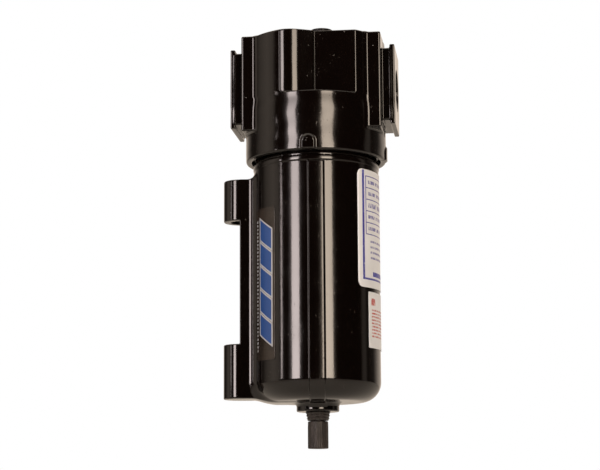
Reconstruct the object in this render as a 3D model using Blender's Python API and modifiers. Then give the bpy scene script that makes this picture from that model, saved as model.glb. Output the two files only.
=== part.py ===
"""Compressed air filter: a cast head with two ports over a cast metal bowl, holding a
swirl deflector, a filter element and a float-operated automatic drain.

Metres, +Z up. The origin is where the axis through both ports (X) crosses the bowl's
axis (Z), and the front is -Y. The bowl screws up into the head's skirt.
"""

import math

import bmesh
import bpy
from mathutils import Matrix, Vector

MERGE = 0.00001
CLEARANCE = 0.0003
FACETS = 48
SMALL_FACETS = 32

# Head casting
HEAD_RADIUS = 0.0342
HEAD_TOP = 0.0246
SKIRT_RIM = -0.0358
SKIRT_BORE = 0.0315
SKIRT_CEILING = -0.0140
RIM_ROUND = 0.0013
PORT_BORE = 0.0103
PORT_FACE = 0.0401
FLANGE_HALF_DEPTH = 0.0150
FLANGE_HALF_HEIGHT = 0.0197
FLANGE_THICKNESS = 0.0024
NECK_HALF_HEIGHT = 0.0179
BLOCK_BOTTOM = -0.0224
BLOCK_BACK = 0.0058
BLOCK_FRONT = 0.0211
BLOCK_REACH = 0.0338
PANEL_DEPTH = 0.0257
PANEL_SIDE = 0.0022
PANEL_LEDGE = -0.0064
FACET_DEPTH = 0.0254
FACET_TURN = math.radians(26)
LOBE_ROUND = 0.0125
CHAMBER_RADIUS = 0.0240
CHAMBER_CEILING = 0.0105
THROAT_RADIUS = 0.0125
THROAT_BORE = 0.0085
THROAT_END = -0.0270
OUTLET_TUBE = 0.0127

# Bowl casting, which stops a few degrees short of square with the head
BOWL_TURN = math.radians(6)
BOWL_RADIUS = 0.0304
BOWL_INSIDE = 0.0274
BOWL_LIP = -0.0148
BOWL_BASE = -0.1518
BOWL_CORNER = 0.0095
BOWL_FLOOR = -0.1488
GROOVE_TOP = -0.0168
GROOVE_END = -0.0200
GROOVE_RADIUS = 0.0286
THREAD_RADIUS = 0.0309
WEB_REACH = 0.0370
BOSS_RADIUS = 0.0081
UPPER_BOSS = (-0.0643, -0.0442)
LOWER_BOSS = (-0.1502, -0.1241)
SEAT_BORE = 0.0047
SEAT_DEPTH = 0.0100
RIB_WIDTH = 0.0073
RIB_PROUD = 0.0008
DRAIN_BOSS_RADIUS = 0.0102
DRAIN_BOSS_END = -0.1563
DRAIN_HOLE = 0.0060

# Labels stuck round the bowl: (first angle, last angle) from the front, (bottom, top)
BADGE_SPAN, BADGE_HEIGHT = (-70, -40), (-0.1330, -0.0603)
RATING_SPAN, RATING_HEIGHT = (40, 140), (-0.0990, -0.0422)
BATCH_SPAN, BATCH_HEIGHT = (53, 118), (-0.1275, -0.1009)
LABEL_LIFT = 0.0001
LABEL_THICKNESS = 0.0002

# Filter stack on the bowl's axis
ROD_RADIUS = 0.0022
ROD_TOP = 0.0165
ROD_END = -0.0950
ELEMENT_RADIUS = 0.0170
ELEMENT_BORE = 0.0120
ELEMENT_TOP = -0.0307
ELEMENT_END = -0.0830
SEAL_THICKNESS = 0.0016
BAFFLE_RADIUS = 0.0235
BAFFLE_THICKNESS = 0.0018
VANE_COUNT = 10
VANE_TILT = math.radians(38)

# Float drain
DRAIN_RADIUS = 0.0145
DRAIN_WALL = 0.0013
DRAIN_TOP = -0.1066
DRAIN_FLANGE_TOP = -0.1455
NOZZLE_RADIUS = 0.0016
GUIDE_BORE = 0.0020
VALVE_RADIUS = 0.0028
COLUMN_RADIUS = 0.0048
COLUMN_BORE = 0.0037
COLUMN_TOP = -0.1220
NOZZLE_TOP = -0.1156
NECK_RADIUS = 0.0056
NECK_END = -0.1605
NECK_BORE = 0.0034
VALVE_SEAT = -0.1524
FLOAT_RADIUS = 0.0122
FLOAT_BORE = 0.0053
FLOAT_TOP = -0.1218
FLOAT_END = -0.1395
NUB_OFFSET = 0.0105
NUB_TOP = -0.1154
LEVER_PIVOT = (0.0060, -0.1144)
LEVER_TIP = -0.0125
LEVER_HALF_WIDTH = 0.0016
LEVER_THICKNESS = 0.0012
PIN_RADIUS = 0.0006
PISTON_TOP = -0.1262
PISTON_END = -0.1302
PISTON_RADIUS = 0.0033
PISTON_ROD = 0.0012
VALVE_TOP = -0.1527
VALVE_END = -0.1550
SPRING_RADIUS = 0.0026
SPRING_WIRE = 0.00035
SPRING_TURNS = 6
STEM_RADIUS = 0.00485
STEM_TOP = -0.1608
STEM_END = -0.1737
STEM_SPIGOT = 0.0031
SPIGOT_TOP = -0.1575
STEM_BORE = 0.0016

# Plug of the pressure indicator's port, on top of the head
PLUG_PLACE = (0.0052, -0.0195, 0.0170)
PLUG_SHANK = 0.0030
PLUG_RADIUS = 0.0054
PLUG_TOP = 0.0262


def clear_scene():
    for old in list(bpy.data.objects):
        bpy.data.objects.remove(old)


def collection(name, hidden=False):
    made = bpy.data.collections.new(name)
    made.hide_render = hidden
    bpy.context.scene.collection.children.link(made)
    return made


def material(name, colour, roughness, metallic=0.0):
    made = bpy.data.materials.new(name)
    made.use_nodes = True
    shader = made.node_tree.nodes["Principled BSDF"]
    shader.inputs["Base Color"].default_value = (*colour, 1.0)
    shader.inputs["Roughness"].default_value = roughness
    shader.inputs["Metallic"].default_value = metallic
    made.diffuse_color = (*colour, 1.0)
    return made


def add(name, mesh, home):
    made = bpy.data.objects.new(name, mesh)
    home.objects.link(made)
    return made


def lathe(name, outline, home, steps=FACETS, ring=False):
    """Turn (radius, height) points about Z. They run down the outer side."""
    mesh = bpy.data.meshes.new(name)
    edges = [(i, i + 1) for i in range(len(outline) - 1)]
    if ring:
        edges.append((len(outline) - 1, 0))
    mesh.from_pydata([(radius, 0, height) for radius, height in outline], edges, [])
    made = add(name, mesh, home)
    screw = made.modifiers.new("Turn", "SCREW")
    screw.steps = screw.render_steps = steps
    screw.use_merge_vertices = True
    screw.merge_threshold = MERGE
    screw.use_smooth_shade = True
    return made


def from_bmesh(name, shape, home):
    mesh = bpy.data.meshes.new(name)
    shape.to_mesh(mesh)
    shape.free()
    return add(name, mesh, home)


def box(name, low, high, home):
    shape = bmesh.new()
    bmesh.ops.create_cube(shape, size=1)
    low, high = Vector(low), Vector(high)
    bmesh.ops.scale(shape, vec=high - low, verts=shape.verts)
    bmesh.ops.translate(shape, vec=(high + low) / 2, verts=shape.verts)
    return from_bmesh(name, shape, home)


def rod(name, radius, start, end, home, steps=SMALL_FACETS):
    """A round bar from one point to another."""
    start, end = Vector(start), Vector(end)
    along = end - start
    place = Matrix.Translation((start + end) / 2) @ along.to_track_quat("Z", "Y").to_matrix().to_4x4()
    shape = bmesh.new()
    bmesh.ops.create_cone(
        shape, cap_ends=True, segments=steps, radius1=radius, radius2=radius,
        depth=along.length, matrix=place,
    )
    made = from_bmesh(name, shape, home)
    made.data.shade_smooth()
    return made


def plate(name, outline, low, high, home, turn=Matrix()):
    """A flat outline in X and Y, extruded from low to high in Z and then turned."""
    curve = bpy.data.curves.new(name, "CURVE")
    curve.dimensions = "2D"
    curve.fill_mode = "BOTH"
    curve.extrude = (high - low) / 2
    spline = curve.splines.new("POLY")
    spline.points.add(len(outline) - 1)
    for point, (x, y) in zip(spline.points, outline):
        point.co = (x, y, 0, 1)
    spline.use_cyclic_u = True
    drawn = add(name, curve, home)
    drawn.matrix_world = turn @ Matrix.Translation((0, 0, (low + high) / 2))
    return as_mesh(drawn, home)


def as_mesh(drawn, home):
    """The curve's solid with its caps welded, in place of the curve."""
    bpy.context.view_layer.update()
    graph = bpy.context.evaluated_depsgraph_get()
    mesh = bpy.data.meshes.new_from_object(drawn.evaluated_get(graph))
    name, place = drawn.name, drawn.matrix_world.copy()
    bpy.data.objects.remove(drawn)
    shape = bmesh.new()
    shape.from_mesh(mesh)
    bmesh.ops.remove_doubles(shape, verts=shape.verts, dist=MERGE)
    bmesh.ops.recalc_face_normals(shape, faces=shape.faces)
    shape.to_mesh(mesh)
    shape.free()
    made = add(name, mesh, home)
    made.matrix_world = place
    return made


def combine(target, operation, *others):
    for other in others:
        other.display_type = "WIRE"
        other.hide_render = True
        step = target.modifiers.new(other.name, "BOOLEAN")
        step.operation = operation
        step.object = other


def arc(centre, radius, start, end, count):
    """Points round a centre from one angle to another, in degrees, both ends included."""
    turns = [math.radians(start + (end - start) * i / (count - 1)) for i in range(count)]
    return [(centre[0] + radius * math.cos(t), centre[1] + radius * math.sin(t)) for t in turns]


def front_cut_outline():
    """Plan of what is cut from the head's front: a facet, its round shoulder and a panel."""
    normal = Vector((math.sin(FACET_TURN), -math.cos(FACET_TURN)))
    along = Vector((-normal.y, normal.x))
    reach = HEAD_RADIUS - LOBE_ROUND
    offset = FACET_DEPTH - LOBE_ROUND
    centre = normal * offset - along * math.sqrt(reach**2 - offset**2)
    first = math.degrees(math.atan2(centre.y, centre.x))
    last = math.degrees(math.atan2(normal.y, normal.x))
    shoulder = arc(centre, LOBE_ROUND, first, last, 7)
    facet_end = -(FACET_DEPTH - normal.x * PANEL_SIDE) / -normal.y
    outside = centre.normalized() * HEAD_RADIUS * 1.4
    return [
        tuple(outside), *shoulder, (PANEL_SIDE, facet_end), (PANEL_SIDE, -PANEL_DEPTH),
        (HEAD_RADIUS, -PANEL_DEPTH), (HEAD_RADIUS, outside.y),
    ]


def head_casting(parts, cutters, finish):
    rim = arc((HEAD_RADIUS - RIM_ROUND, SKIRT_RIM + RIM_ROUND), RIM_ROUND, 0, -90, 4)
    bevel = 0.0005
    outline = [(0, HEAD_TOP), (HEAD_RADIUS - bevel, HEAD_TOP), (HEAD_RADIUS, HEAD_TOP - bevel)]
    head = lathe("head_casting", [*outline, *rim, (0, SKIRT_RIM)], parts)
    root, neck_end = 0.020, PORT_FACE - FLANGE_THICKNESS / 2
    for side in (-1, 1):
        spans = (
            ("block", (root, -BLOCK_FRONT, BLOCK_BOTTOM), (BLOCK_REACH, -BLOCK_BACK, HEAD_TOP)),
            ("neck", (root, -FLANGE_HALF_DEPTH, -NECK_HALF_HEIGHT),
             (neck_end, FLANGE_HALF_DEPTH, NECK_HALF_HEIGHT)),
            ("flange", (PORT_FACE - FLANGE_THICKNESS, -FLANGE_HALF_DEPTH, -FLANGE_HALF_HEIGHT),
             (PORT_FACE, FLANGE_HALF_DEPTH, FLANGE_HALF_HEIGHT)),
        )
        for name, low, high in spans:
            x_low, x_high = sorted((side * low[0], side * high[0]))
            solid = box(f"{name}_{side}", (x_low, *low[1:]), (x_high, *high[1:]), cutters)
            combine(head, "UNION", solid)
    for name, turn in (("front", 0), ("right", 90)):
        combine(head, "UNION", skirt_bump(name, math.radians(turn), cutters))
    front_cut = plate("front_cut", front_cut_outline(), PANEL_LEDGE, HEAD_TOP * 1.5, cutters)
    combine(head, "DIFFERENCE", front_cut)
    cavity = lathe(
        "head_cavity",
        [
            (0, THROAT_END), (THROAT_RADIUS, THROAT_END), (THROAT_RADIUS, CHAMBER_CEILING),
            (CHAMBER_RADIUS, CHAMBER_CEILING), (CHAMBER_RADIUS, SKIRT_CEILING),
            (SKIRT_BORE, SKIRT_CEILING), (SKIRT_BORE, SKIRT_RIM + 0.0006),
            (SKIRT_BORE + 0.0008, SKIRT_RIM), (SKIRT_BORE + 0.0008, SKIRT_RIM * 1.2),
            (0, SKIRT_RIM * 1.2),
        ],
        cutters,
    )
    combine(head, "DIFFERENCE", cavity)
    outlet = rod("outlet_tube", OUTLET_TUBE, (0.002, 0, 0), (0.030, 0, 0), cutters, 48)
    combine(head, "UNION", outlet)
    chamber_side, outlet_start, outside = 0.020, -0.004, PORT_FACE * 1.2
    ports = (
        rod("inlet_bore", PORT_BORE, (-outside, 0, 0), (-chamber_side, 0, 0), cutters, 48),
        rod("outlet_bore", PORT_BORE, (outlet_start, 0, 0), (outside, 0, 0), cutters, 48),
        rod("throat_bore", THROAT_BORE, (0, 0, 0), (0, 0, THROAT_END * 1.1), cutters, 48),
        rod("rod_hole", ROD_RADIUS + CLEARANCE, (0, 0, 0), (0, 0, ROD_TOP + CLEARANCE), cutters),
        rod("plug_hole", PLUG_SHANK + CLEARANCE, PLUG_PLACE, (*PLUG_PLACE[:2], HEAD_TOP * 1.5), cutters),
    )
    combine(head, "DIFFERENCE", *ports)
    head.data.materials.append(finish)


def skirt_bump(name, turn, cutters):
    """A low arch-topped pad on the skirt's rim, turned round from the front."""
    half_width, low, high = 0.0031, SKIRT_RIM + 0.0010, SKIRT_RIM + 0.0075
    crown = arc((0, high - half_width), half_width, 0, 180, 9)
    outline = [(-half_width, low), (half_width, low), *crown]
    upright = Matrix.Rotation(turn, 4, "Z") @ Matrix.Rotation(math.pi / 2, 4, "X")
    reach = HEAD_RADIUS + 0.0007
    return plate(f"bump_{name}", outline, reach - 0.0025, reach, cutters, upright)


def port_plug(parts, cutters, steel, rubber):
    x, y, foot = PLUG_PLACE
    washer_top = HEAD_TOP + 0.0007
    lift = CLEARANCE / 3
    plug = lathe(
        "port_plug",
        [
            (0, PLUG_TOP), (PLUG_RADIUS - 0.0003, PLUG_TOP), (PLUG_RADIUS, PLUG_TOP - 0.0003),
            (PLUG_RADIUS, washer_top + lift), (PLUG_SHANK, washer_top + lift),
            (PLUG_SHANK, foot + CLEARANCE), (0, foot + CLEARANCE),
        ],
        parts, SMALL_FACETS,
    )
    plug.location = (x, y, 0)
    key = rod("plug_socket", 0.0021, (x, y, HEAD_TOP - 0.002), (x, y, PLUG_TOP + 0.01), cutters, 6)
    combine(plug, "DIFFERENCE", key)
    plug.data.materials.append(steel)
    washer = ring(
        "plug_seal", PLUG_RADIUS - 0.0004, PLUG_SHANK + CLEARANCE, HEAD_TOP + lift, washer_top, parts, rubber
    )
    washer.location = (x, y, 0)


def bowl_outer_corner(proud=0.0, count=7):
    """The outer corner of the bowl's base, in radius and height, optionally lifted."""
    centre = (BOWL_RADIUS - BOWL_CORNER, BOWL_BASE + BOWL_CORNER)
    return arc(centre, BOWL_CORNER + proud, 0, -90, count)


def bowl_casting(parts, cutters, finish):
    shoulder = SKIRT_RIM - 0.0012
    outline = [
        (0, BOWL_LIP), (BOWL_RADIUS - 0.0005, BOWL_LIP), (BOWL_RADIUS, BOWL_LIP - 0.0005),
        (BOWL_RADIUS, GROOVE_TOP), (GROOVE_RADIUS, GROOVE_TOP), (GROOVE_RADIUS, GROOVE_END),
        (BOWL_RADIUS, GROOVE_END), (THREAD_RADIUS, GROOVE_END - 0.0015),
        (THREAD_RADIUS, shoulder + 0.0040), (BOWL_RADIUS, shoulder + 0.0032),
        (BOWL_RADIUS, shoulder), (BOWL_RADIUS + 0.0007, shoulder - 0.0006),
        (BOWL_RADIUS + 0.0007, shoulder - 0.0018), (BOWL_RADIUS, shoulder - 0.0024),
        *bowl_outer_corner(),
        (DRAIN_BOSS_RADIUS + 0.0012, BOWL_BASE - 0.0004), (DRAIN_BOSS_RADIUS, BOWL_BASE - 0.0016),
        (DRAIN_BOSS_RADIUS, DRAIN_BOSS_END + 0.0005), (DRAIN_BOSS_RADIUS - 0.0005, DRAIN_BOSS_END),
        (0, DRAIN_BOSS_END),
    ]
    bowl = lathe("bowl_casting", outline, parts)
    web = box(
        "web", (-WEB_REACH, -BOSS_RADIUS, LOWER_BOSS[0]), (-0.0130, BOSS_RADIUS, UPPER_BOSS[1]), cutters
    )
    bosses = [
        rod(f"boss_{i}", BOSS_RADIUS, (-WEB_REACH, 0, low), (-WEB_REACH, 0, high), cutters)
        for i, (low, high) in enumerate((UPPER_BOSS, LOWER_BOSS))
    ]
    combine(bowl, "UNION", web, *bosses, front_rib(cutters))
    corner = BOWL_CORNER * 0.6
    hollow = lathe(
        "bowl_hollow",
        [
            (0, 0), (BOWL_INSIDE, 0),
            *arc((BOWL_INSIDE - corner, BOWL_FLOOR + corner), corner, 0, -90, 5), (0, BOWL_FLOOR),
        ],
        cutters,
    )
    drain_hole = rod("drain_hole", DRAIN_HOLE, (0, 0, BOWL_FLOOR + 0.01), (0, 0, BOWL_BASE - 0.01), cutters)
    seat_span = [(-WEB_REACH, 0, UPPER_BOSS[0] + SEAT_DEPTH), (-WEB_REACH, 0, LOWER_BOSS[1] - SEAT_DEPTH)]
    seats = rod("gauge_seats", SEAT_BORE, *seat_span, cutters)
    combine(bowl, "DIFFERENCE", hollow, drain_hole, seats)
    bowl.data.materials.append(finish)


def front_rib(cutters):
    """The flat rib down the bowl's front and under its corner to the drain boss."""
    top = SKIRT_RIM - 0.0038
    inset = 0.0016
    outer = [(BOWL_RADIUS + RIB_PROUD, top), *bowl_outer_corner(RIB_PROUD)]
    outer.append((DRAIN_BOSS_RADIUS - inset, BOWL_BASE - RIB_PROUD))
    inner = [(BOWL_RADIUS - inset, top), *bowl_outer_corner(-inset)]
    inner.append((DRAIN_BOSS_RADIUS - inset, BOWL_BASE + inset))
    on_end = Matrix.Rotation(-math.pi / 2, 4, "Z") @ Matrix.Rotation(math.pi / 2, 4, "X")
    return plate("rib", outer + inner[::-1], -RIB_WIDTH / 2, RIB_WIDTH / 2, cutters, on_end)


def label(name, span, height, parts, cutters, finish):
    """A thin sheet bent round the bowl between two angles from the front."""
    inner = BOWL_RADIUS + LABEL_LIFT
    outer = inner + LABEL_THICKNESS
    low, high = height
    sheet = lathe(
        name, [(outer, high), (outer, low), (inner, low), (inner, high)], parts, 96, ring=True
    )
    reach = outer * 3
    first, last = (math.radians(angle - 90) for angle in span)
    turns = [first + (last - first) * i / 4 for i in range(5)]
    wedge = [(0, 0)] + [(reach * math.cos(t), reach * math.sin(t)) for t in turns]
    piece = plate(name + "_wedge", wedge, low - 0.01, high + 0.01, cutters)
    combine(sheet, "INTERSECT", piece)
    sheet.data.materials.append(finish)


def ring(name, outer, inner, low, high, parts, finish, steps=SMALL_FACETS):
    made = lathe(name, [(outer, high), (outer, low), (inner, low), (inner, high)], parts, steps, ring=True)
    made.data.materials.append(finish)
    return made


def o_ring(name, centre, height, wire, parts, finish, steps=SMALL_FACETS, sides=8):
    """A torus whose section has the given radius."""
    section = arc((centre, height), wire, 0, -360 * (1 - 1 / sides), sides)
    made = lathe(name, section, parts, steps, ring=True)
    made.data.materials.append(finish)


def deflector(parts, cutters, plastic):
    """Two hoops joined by slanted vanes, hung round the head's throat."""
    top, low, foot = -0.0150, -0.0265, THROAT_END - CLEARANCE
    hub, hoop = THROAT_RADIUS + CLEARANCE, 0.0235
    wall = 0.0014
    body = lathe(
        "deflector",
        [
            (hub + wall, top), (hub + wall, foot - 0.0012), (THROAT_BORE + 0.0005, foot - 0.0012),
            (THROAT_BORE + 0.0005, foot), (hub, foot), (hub, top),
        ],
        parts, SMALL_FACETS, ring=True,
    )
    outer = lathe(
        "deflector_hoop", [(hoop, top), (hoop, low), (hoop - wall, low), (hoop - wall, top)],
        cutters, SMALL_FACETS, ring=True,
    )
    vanes = []
    for i in range(VANE_COUNT):
        low_corner = (hub + wall / 2, -0.0005, -0.0048)
        vane = box(f"vane_{i}", low_corner, (hoop - wall / 2, 0.0005, 0.0048), cutters)
        vane.data.transform(Matrix.Rotation(VANE_TILT, 4, "X"))
        turn = Matrix.Rotation(math.tau * i / VANE_COUNT, 4, "Z")
        vane.data.transform(turn @ Matrix.Translation((0, 0, (top + low) / 2)))
        vanes.append(vane)
    combine(body, "UNION", *vanes, outer)
    body.data.materials.append(plastic)


def filter_stack(parts, cutters, plastic, porous, rubber, steel):
    deflector(parts, cutters, plastic)
    gap = CLEARANCE
    seal_inner = ELEMENT_BORE - 0.0005
    top = ELEMENT_TOP + gap
    ring("element_top_seal", ELEMENT_RADIUS, seal_inner, top, top + SEAL_THICKNESS, parts, rubber)
    ring("filter_element", ELEMENT_RADIUS, ELEMENT_BORE, ELEMENT_END, ELEMENT_TOP, parts, porous)
    low = ELEMENT_END - gap
    ring("element_bottom_seal", ELEMENT_RADIUS, seal_inner, low - SEAL_THICKNESS, low, parts, rubber)
    baffle_top = low - SEAL_THICKNESS - gap
    hub = 0.0055
    baffle = lathe(
        "baffle",
        [
            (ELEMENT_BORE - 0.001, baffle_top), (BAFFLE_RADIUS - 0.004, baffle_top),
            (BAFFLE_RADIUS, baffle_top - 0.0030),
            (BAFFLE_RADIUS, baffle_top - 0.0030 - BAFFLE_THICKNESS),
            (BAFFLE_RADIUS - 0.004, baffle_top - BAFFLE_THICKNESS),
            (hub, baffle_top - BAFFLE_THICKNESS), (hub, baffle_top - 0.0050),
            (ROD_RADIUS + gap, baffle_top - 0.0050), (ROD_RADIUS + gap, baffle_top),
        ],
        parts, SMALL_FACETS, ring=True,
    )
    baffle.data.materials.append(plastic)
    nut_top = baffle_top - 0.0050 - gap
    nut = rod("baffle_nut", 0.0043, (0, 0, nut_top), (0, 0, nut_top - 0.0032), parts, 6)
    nut.data.shade_flat()
    hole = rod("nut_hole", ROD_RADIUS + gap, (0, 0, nut_top + 0.01), (0, 0, nut_top - 0.01), cutters)
    combine(nut, "DIFFERENCE", hole)
    nut.data.materials.append(steel)
    stud = lathe(
        "tie_rod",
        [(0, ROD_TOP), (ROD_RADIUS, ROD_TOP), (ROD_RADIUS, ROD_END), (0, ROD_END)],
        parts, SMALL_FACETS,
    )
    stud.data.materials.append(steel)


def drain_body(parts, cutters, plastic):
    """Float chamber, central column with its nozzle, and the threaded neck below."""
    floor = BOWL_FLOOR + 0.0018
    inside = DRAIN_RADIUS - DRAIN_WALL
    ridge_step, ridge_depth = 0.0014, 0.0004
    ridges = []
    for i in range(3):
        height = DRAIN_BOSS_END - 0.0004 - i * ridge_step
        ridges += [(NECK_RADIUS - ridge_depth, height), (NECK_RADIUS, height - ridge_step / 2)]
    body = lathe(
        "drain_body",
        [
            (0, NOZZLE_TOP), (NOZZLE_RADIUS, NOZZLE_TOP), (NOZZLE_RADIUS, COLUMN_TOP),
            (COLUMN_RADIUS, COLUMN_TOP), (COLUMN_RADIUS, DRAIN_FLANGE_TOP),
            (inside, DRAIN_FLANGE_TOP), (inside, DRAIN_TOP), (DRAIN_RADIUS, DRAIN_TOP),
            (DRAIN_RADIUS, floor), (NECK_RADIUS, floor), *ridges,
            (NECK_RADIUS - ridge_depth, NECK_END), (0, NECK_END),
        ],
        parts, SMALL_FACETS,
    )
    bore_top = PISTON_TOP + 0.0012
    bore = lathe(
        "column_bore",
        [
            (0, bore_top), (COLUMN_BORE, bore_top), (COLUMN_BORE, DRAIN_FLANGE_TOP),
            (GUIDE_BORE, DRAIN_FLANGE_TOP), (GUIDE_BORE, VALVE_SEAT), (NECK_BORE, VALVE_SEAT),
            (NECK_BORE, NECK_END - 0.001), (0, NECK_END - 0.001),
        ],
        cutters, SMALL_FACETS,
    )
    pilot = rod("pilot_bore", 0.0006, (0, 0, NOZZLE_TOP + 0.001), (0, 0, PISTON_TOP), cutters, 12)
    windows = []
    for i in range(4):
        window = box(f"window_{i}", (inside - 0.001, -0.0025, -0.1430), (0.0160, 0.0025, -0.1180), cutters)
        window.rotation_euler.z = math.radians(45 + 90 * i)
        windows.append(window)
    combine(body, "DIFFERENCE", bore, pilot, *windows)
    body.data.materials.append(plastic)


def drain_cap(parts, cutters, plastic, steel):
    """Lid of the float chamber, whose two lugs hold the pin of the lever."""
    x, z = LEVER_PIVOT
    low = DRAIN_TOP + CLEARANCE
    high = low + 0.0020
    lid = lathe(
        "drain_cap",
        [
            (0, high), (DRAIN_RADIUS - 0.0005, high), (DRAIN_RADIUS, high - 0.0005),
            (DRAIN_RADIUS, low), (0, low),
        ],
        parts, SMALL_FACETS,
    )
    for side in (-1, 1):
        y_low, y_high = sorted((side * 0.0020, side * 0.0032))
        lug = box(f"lug_{side}", (x - 0.0016, y_low, z - 0.0016), (x + 0.0016, y_high, low + 0.0005), cutters)
        combine(lid, "UNION", lug)
    hole = rod("lug_hole", PIN_RADIUS + CLEARANCE, (x, -0.005, z), (x, 0.005, z), cutters, 16)
    combine(lid, "DIFFERENCE", hole)
    lid.data.materials.append(plastic)
    pin = rod("lever_pin", PIN_RADIUS, (x, -0.0037, z), (x, 0.0037, z), parts, 16)
    pin.data.materials.append(steel)


def pilot_lever(parts, cutters, plastic):
    """Lever that closes the nozzle until the float's nub lifts its far end."""
    x, z = LEVER_PIVOT
    pivot = bpy.data.objects.new("lever_axis", None)
    parts.objects.link(pivot)
    pivot.location = (x, 0, z)
    half = LEVER_THICKNESS / 2
    lever = box(
        "pilot_lever", (LEVER_TIP - x, -LEVER_HALF_WIDTH, -half), (0, LEVER_HALF_WIDTH, half), parts
    )
    barrel = rod("lever_barrel", 0.0015, (0, -LEVER_HALF_WIDTH, 0), (0, LEVER_HALF_WIDTH, 0), cutters, 24)
    pad = rod("lever_pad", 0.0013, (-x, 0, 0), (-x, 0, -half - CLEARANCE), cutters, 16)
    combine(lever, "UNION", barrel, pad)
    hole = rod("lever_hole", PIN_RADIUS + CLEARANCE, (0, -0.005, 0), (0, 0.005, 0), cutters, 16)
    combine(lever, "DIFFERENCE", hole)
    lever.data.materials.append(plastic)
    for piece in (lever, barrel, pad, hole):
        piece.parent = pivot


def drain_float(parts, cutters, foam):
    bulb = lathe(
        "drain_float",
        [
            (FLOAT_RADIUS - 0.001, FLOAT_TOP), (FLOAT_RADIUS, FLOAT_TOP - 0.001),
            (FLOAT_RADIUS, FLOAT_END + 0.001), (FLOAT_RADIUS - 0.001, FLOAT_END),
            (FLOAT_BORE, FLOAT_END), (FLOAT_BORE, FLOAT_TOP),
        ],
        parts, SMALL_FACETS, ring=True,
    )
    nub = rod(
        "float_nub", 0.0013, (-NUB_OFFSET, 0, FLOAT_TOP - 0.002), (-NUB_OFFSET, 0, NUB_TOP), cutters, 16
    )
    combine(bulb, "UNION", nub)
    bulb.data.materials.append(foam)


def drain_valve_train(parts, plastic, rubber, steel):
    """Piston with its seal, the spring that lifts it, and the valve at its foot."""
    groove_top = PISTON_TOP - 0.0012
    groove_end = PISTON_END + 0.0012
    groove = PISTON_RADIUS - 0.0011
    piston = lathe(
        "drain_piston",
        [
            (0, PISTON_TOP), (PISTON_RADIUS, PISTON_TOP), (PISTON_RADIUS, groove_top),
            (groove, groove_top), (groove, groove_end), (PISTON_RADIUS, groove_end),
            (PISTON_RADIUS, PISTON_END), (PISTON_ROD, PISTON_END),
            (PISTON_ROD, VALVE_TOP - 0.0011), (0, VALVE_TOP - 0.0011),
        ],
        parts, 24,
    )
    piston.data.materials.append(plastic)
    wire = (groove_top - groove_end) / 2 - 0.00015
    o_ring("piston_seal", groove + wire + 0.00005, (groove_top + groove_end) / 2, wire, parts, rubber, 24, 6)
    pocket = VALVE_TOP - 0.0014
    valve = lathe(
        "drain_valve",
        [
            (0, pocket), (PISTON_ROD + CLEARANCE, pocket), (PISTON_ROD + CLEARANCE, VALVE_TOP),
            (VALVE_RADIUS, VALVE_TOP), (VALVE_RADIUS, VALVE_END + 0.0005),
            (VALVE_RADIUS - 0.0005, VALVE_END), (0, VALVE_END),
        ],
        parts, 24,
    )
    valve.data.materials.append(rubber)
    return_spring(parts, steel)


def return_spring(parts, steel):
    top = PISTON_END - SPRING_WIRE - CLEARANCE
    end = DRAIN_FLANGE_TOP + SPRING_WIRE + CLEARANCE
    per_turn = 12
    count = SPRING_TURNS * per_turn
    curve = bpy.data.curves.new("return_spring", "CURVE")
    curve.dimensions = "3D"
    curve.bevel_depth = SPRING_WIRE
    curve.bevel_resolution = 2
    curve.use_fill_caps = True
    spline = curve.splines.new("POLY")
    spline.points.add(count)
    for i, point in enumerate(spline.points):
        turn = math.tau * i / per_turn
        height = end + (top - end) * i / count
        point.co = (SPRING_RADIUS * math.cos(turn), SPRING_RADIUS * math.sin(turn), height, 1)
    spring = as_mesh(add("return_spring", curve, parts), parts)
    spring.data.materials.append(steel)


def drain_stem(parts, plastic, rubber):
    groove_top, groove_end, groove = SPIGOT_TOP - 0.0008, SPIGOT_TOP - 0.0022, 0.0022
    stem = lathe(
        "drain_stem",
        [
            (STEM_SPIGOT, SPIGOT_TOP), (STEM_SPIGOT, groove_top), (groove, groove_top),
            (groove, groove_end), (STEM_SPIGOT, groove_end), (STEM_SPIGOT, STEM_TOP),
            (STEM_RADIUS, STEM_TOP), *arc((STEM_RADIUS - 0.0008, STEM_END + 0.0008), 0.0008, 0, -90, 4),
            (STEM_BORE, STEM_END), (STEM_BORE, SPIGOT_TOP),
        ],
        parts, 24, ring=True,
    )
    stem.data.materials.append(plastic)
    wire = 0.0005
    o_ring("stem_o_ring", groove + wire + 0.0001, (groove_top + groove_end) / 2, wire, parts, rubber, 24, 6)


def hang(frame, make, *arguments):
    """Make pieces and parent what has no parent yet to the frame."""
    before = set(bpy.data.objects)
    make(*arguments)
    for piece in set(bpy.data.objects) - before:
        if piece.parent is None:
            piece.parent = frame


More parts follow.
